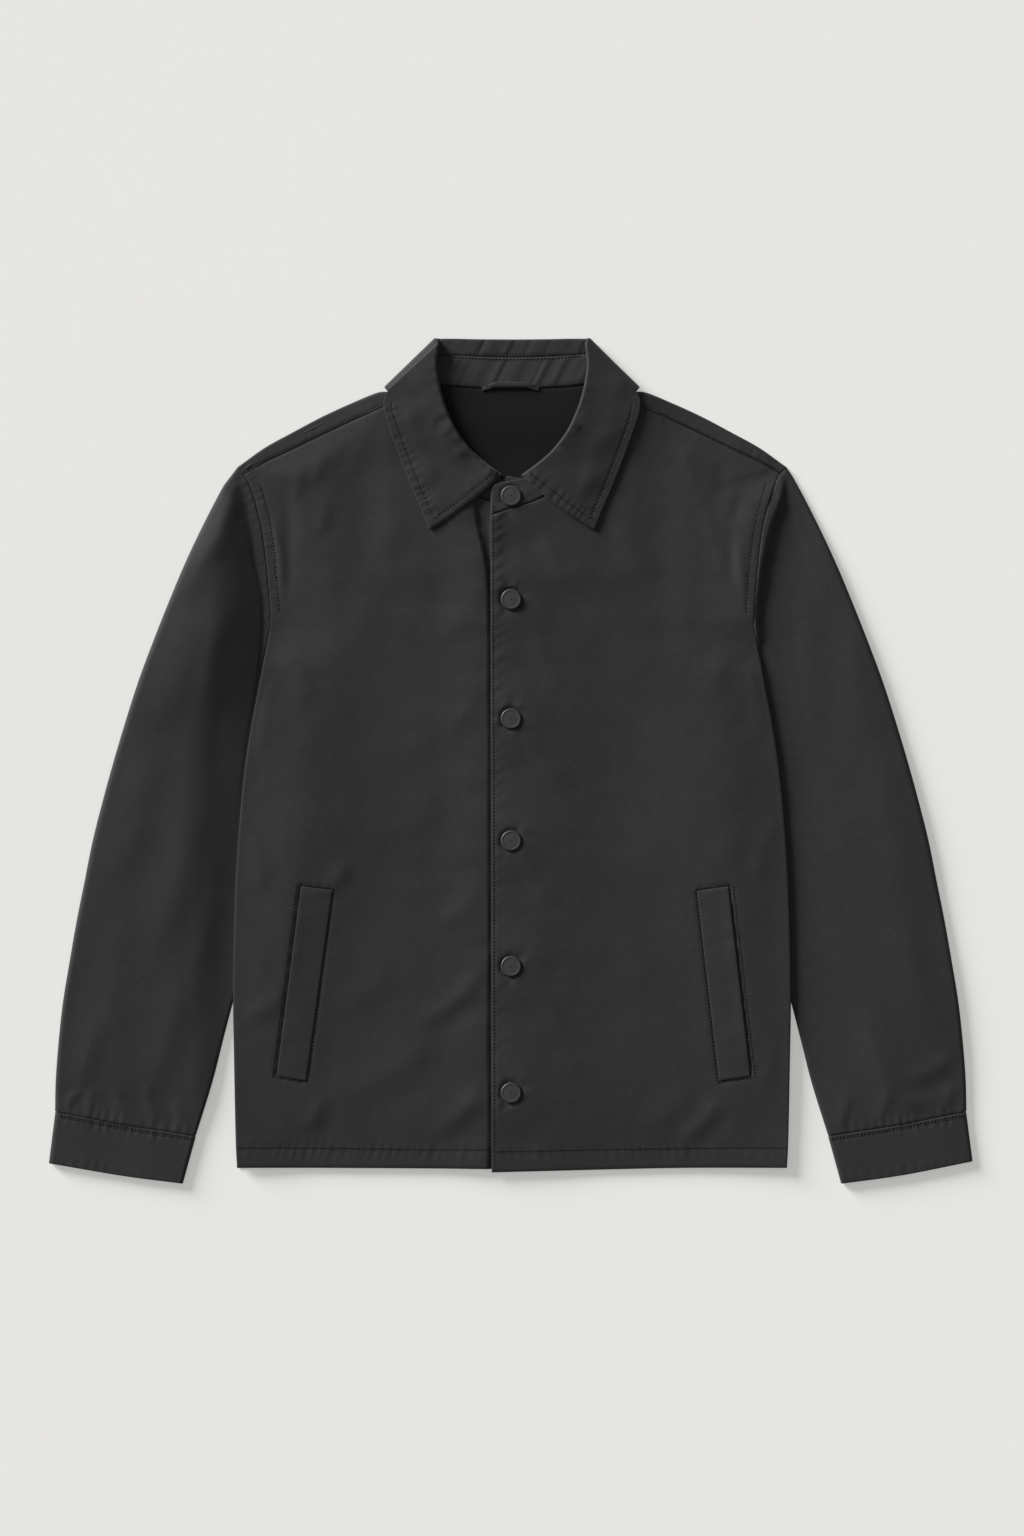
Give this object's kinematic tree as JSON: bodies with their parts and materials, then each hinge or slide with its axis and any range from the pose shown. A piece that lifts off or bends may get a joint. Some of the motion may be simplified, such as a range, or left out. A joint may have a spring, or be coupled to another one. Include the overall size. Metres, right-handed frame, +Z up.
{
  "type": "reversible snap-front shirt jacket",
  "caption": "Light shirt-collared jacket with a snap placket, slanted welt pockets and buttonless cuffs, buttoned up and laid flat on its back.",
  "frame": {"origin": "middle of the laid-out jacket in plan, on the surface it lies on", "axes": "+X to the viewer's right (the wearer's left side), +Y from the hem to the collar, +Z up from the surface"},
  "size_m": [0.83, 0.7615, 0.0112],
  "materials": {
    "shell_cloth": "matt charcoal-black fine twill",
    "reverse_cloth": "smooth matt black",
    "snap_cap": "satin dark grey enamel"
  },
  "bodies": {
    "root": {"back": "shell_cloth", "reverse_back": "reverse_cloth", "front_left": "shell_cloth", "front_right": "shell_cloth", "sleeve_left": "shell_cloth", "sleeve_right": "shell_cloth", "cuff_left": "shell_cloth", "cuff_right": "shell_cloth", "collar_stand": "shell_cloth", "collar_fall": "shell_cloth", "hanger_loop": "shell_cloth", "welt_left": "shell_cloth", "welt_right": "shell_cloth", "snap_1": "snap_cap", "snap_2": "snap_cap", "snap_3": "snap_cap", "snap_4": "snap_cap", "snap_5": "snap_cap", "snap_6": "snap_cap"}
  },
  "joints": []
}
